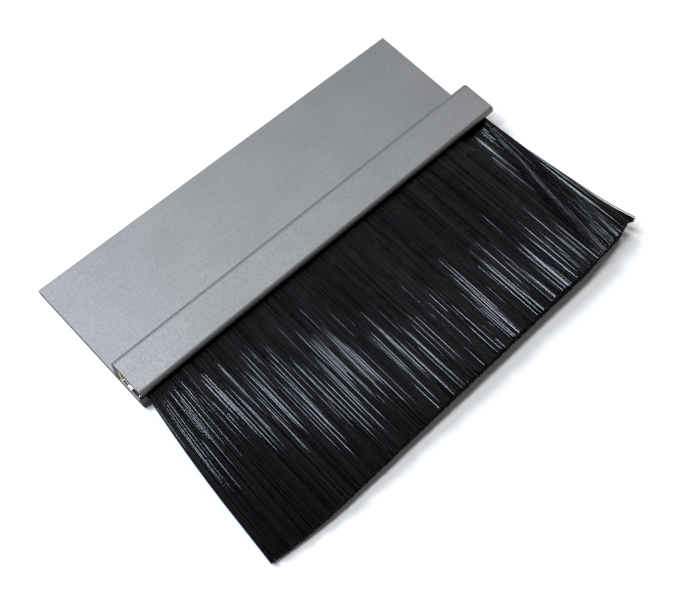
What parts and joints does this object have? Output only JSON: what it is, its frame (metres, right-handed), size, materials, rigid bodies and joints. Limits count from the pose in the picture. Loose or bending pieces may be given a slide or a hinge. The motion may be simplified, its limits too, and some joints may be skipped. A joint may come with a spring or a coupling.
{
  "type": "brush door sweep",
  "caption": "Brush door sweep: a flat-flanged aluminium carrier whose pocket holds a sliding strip brush of black filaments crimped in a steel channel.",
  "frame": {"origin": "centre of the carrier's flat back face, the face that lies against the door", "axes": "+X along the sweep, +Y from the bristles towards the flange's free edge, +Z out of the front face"},
  "size_m": [0.1602, 0.113, 0.0127],
  "materials": {
    "anodised_aluminium": "satin",
    "galvanised_steel": "satin",
    "steel_wire": "polished",
    "nylon_filament": "gloss"
  },
  "bodies": {
    "carrier": {"carrier_rail": "anodised_aluminium"},
    "strip_brush": {"brush_channel": "galvanised_steel", "core_wire": "steel_wire", "bristle_folds": "nylon_filament"},
    "bristles_1": {"bristle_section_1": "nylon_filament"},
    "bristles_2": {"bristle_section_2": "nylon_filament"},
    "bristles_3": {"bristle_section_3": "nylon_filament"},
    "bristles_4": {"bristle_section_4": "nylon_filament"},
    "bristles_5": {"bristle_section_5": "nylon_filament"},
    "bristles_6": {"bristle_section_6": "nylon_filament"}
  },
  "joints": [
    {"name": "strip_slide", "type": "slide", "parent": "carrier", "child": "strip_brush", "axis": [1, 0, 0], "range_m": [-0.1524, 0.1524]},
    {"name": "bristle_flex_1", "type": "hinge", "parent": "strip_brush", "child": "bristles_1", "pos_m": [0, -0.02685, 0.0065], "axis": [-1, 0, 0], "range_deg": [-40, 40], "stiffness_Nm_per_rad": 0.085},
    {"name": "bristle_flex_2", "type": "hinge", "parent": "strip_brush", "child": "bristles_2", "pos_m": [0, -0.02685, 0.0065], "axis": [-1, 0, 0], "range_deg": [-40, 40], "stiffness_Nm_per_rad": 0.085},
    {"name": "bristle_flex_3", "type": "hinge", "parent": "strip_brush", "child": "bristles_3", "pos_m": [0, -0.02685, 0.0065], "axis": [-1, 0, 0], "range_deg": [-40, 40], "stiffness_Nm_per_rad": 0.085},
    {"name": "bristle_flex_4", "type": "hinge", "parent": "strip_brush", "child": "bristles_4", "pos_m": [0, -0.02685, 0.0065], "axis": [-1, 0, 0], "range_deg": [-40, 40], "stiffness_Nm_per_rad": 0.085},
    {"name": "bristle_flex_5", "type": "hinge", "parent": "strip_brush", "child": "bristles_5", "pos_m": [0, -0.02685, 0.0065], "axis": [-1, 0, 0], "range_deg": [-40, 40], "stiffness_Nm_per_rad": 0.085},
    {"name": "bristle_flex_6", "type": "hinge", "parent": "strip_brush", "child": "bristles_6", "pos_m": [0, -0.02685, 0.0065], "axis": [-1, 0, 0], "range_deg": [-40, 40], "stiffness_Nm_per_rad": 0.085}
  ]
}
